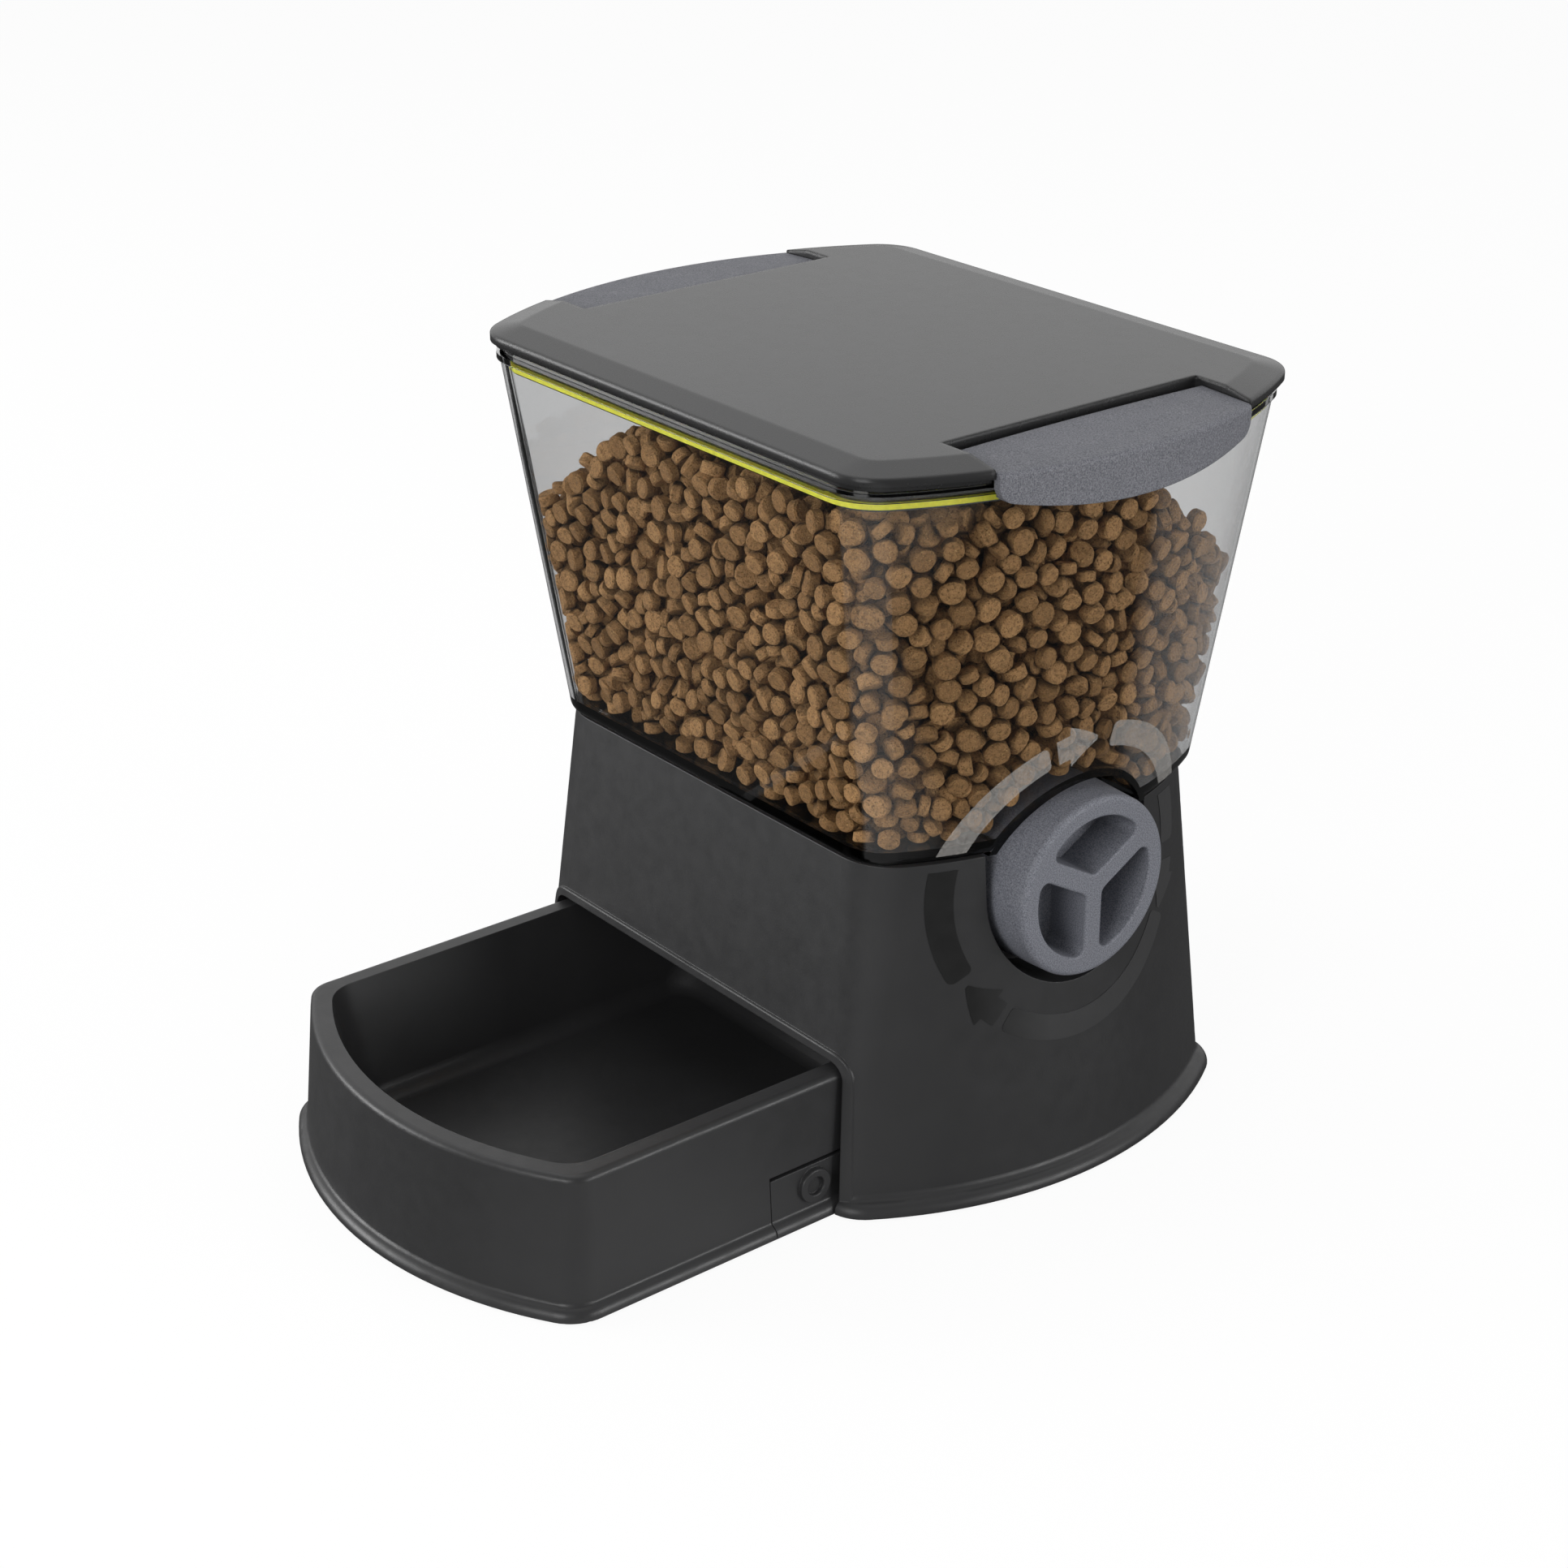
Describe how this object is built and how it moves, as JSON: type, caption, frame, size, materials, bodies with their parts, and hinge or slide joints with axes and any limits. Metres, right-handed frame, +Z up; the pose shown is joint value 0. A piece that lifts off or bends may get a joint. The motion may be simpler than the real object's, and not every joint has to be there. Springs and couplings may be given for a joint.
{
  "type": "pet food dispenser",
  "caption": "Dry pet food dispenser: clear hopper with latched lid on a tower, a side knob that turns a portion wheel, and a pull-out bowl.",
  "frame": {"origin": "on the floor, under the middle of the whole object's box", "axes": "+X to the knob side, -Y to the bowl (the front), +Z up"},
  "size_m": [0.2588, 0.3185, 0.27],
  "materials": {
    "base_plastic": "fine satin grain",
    "bowl_plastic": "fine satin grain",
    "lid_plastic": "semi-gloss",
    "plug_plastic": "matt",
    "knob_plastic": "fine matt grain",
    "latch_plastic": "fine matt grain",
    "clear_plastic": "clear with a grey tint",
    "inner_plastic": "matt",
    "bush_plastic": "smooth, natural white",
    "seal_rubber": "soft, bright yellow",
    "foot_rubber": "matt black",
    "steel": "bright zinc"
  },
  "bodies": {
    "base": {"tower_shell": "base_plastic", "leg_cover_right": "base_plastic", "leg_cover_left": "base_plastic", "tower_feet": "foot_rubber", "leg_screws": "steel", "wheel_housing": "inner_plastic", "housing_screws": "steel", "chute": "inner_plastic", "bush_left": "bush_plastic", "bush_middle": "bush_plastic", "bush_right": "bush_plastic", "click_spring": "steel", "spring_screw": "steel"},
    "wheel": {"wheel_shaft": "steel", "portion_wheel": "inner_plastic", "click_wheel": "bush_plastic", "shaft_clip": "steel", "knob": "knob_plastic"},
    "bowl": {"bowl": "bowl_plastic", "bowl_pads": "foot_rubber"},
    "snap_right": {"bowl_snap_right": "bowl_plastic"},
    "snap_left": {"bowl_snap_left": "bowl_plastic"},
    "hopper": {"hopper": "clear_plastic"},
    "lid": {"lid_cover": "lid_plastic", "lid_plug": "plug_plastic", "lid_seal": "seal_rubber", "lid_screws": "steel", "latch_pins": "steel"},
    "latch_right": {"latch_right": "latch_plastic"},
    "latch_left": {"latch_left": "latch_plastic"}
  },
  "joints": [
    {"name": "knob_turn", "type": "hinge", "parent": "base", "child": "wheel", "pos_m": [0, 0.06275, 0.109], "axis": [1, 0, 0], "continuous": true},
    {"name": "bowl_slide", "type": "slide", "parent": "base", "child": "bowl", "axis": [0, -1, 0], "range_m": [0, 0.115]},
    {"name": "snap_right_press", "type": "hinge", "parent": "bowl", "child": "snap_right", "pos_m": [0.0832, -0.04965, 0.011], "axis": [0, 0, 1], "range_deg": [0, 4], "stiffness_Nm_per_rad": 3},
    {"name": "snap_left_press", "type": "hinge", "parent": "bowl", "child": "snap_left", "pos_m": [-0.0832, -0.04965, 0.011], "axis": [0, 0, -1], "range_deg": [0, 4], "stiffness_Nm_per_rad": 3},
    {"name": "hopper_lift", "type": "slide", "parent": "base", "child": "hopper", "axis": [0, 0, 1], "range_m": [0, 0.06]},
    {"name": "lid_lift", "type": "slide", "parent": "hopper", "child": "lid", "axis": [0, 0, 1], "range_m": [0, 0.04]},
    {"name": "latch_right_open", "type": "hinge", "parent": "lid", "child": "latch_right", "pos_m": [0.101, 0.06425, 0.2643], "axis": [0, -1, 0], "range_deg": [0, 95]},
    {"name": "latch_left_open", "type": "hinge", "parent": "lid", "child": "latch_left", "pos_m": [-0.101, 0.06425, 0.2643], "axis": [0, 1, 0], "range_deg": [0, 95]}
  ]
}
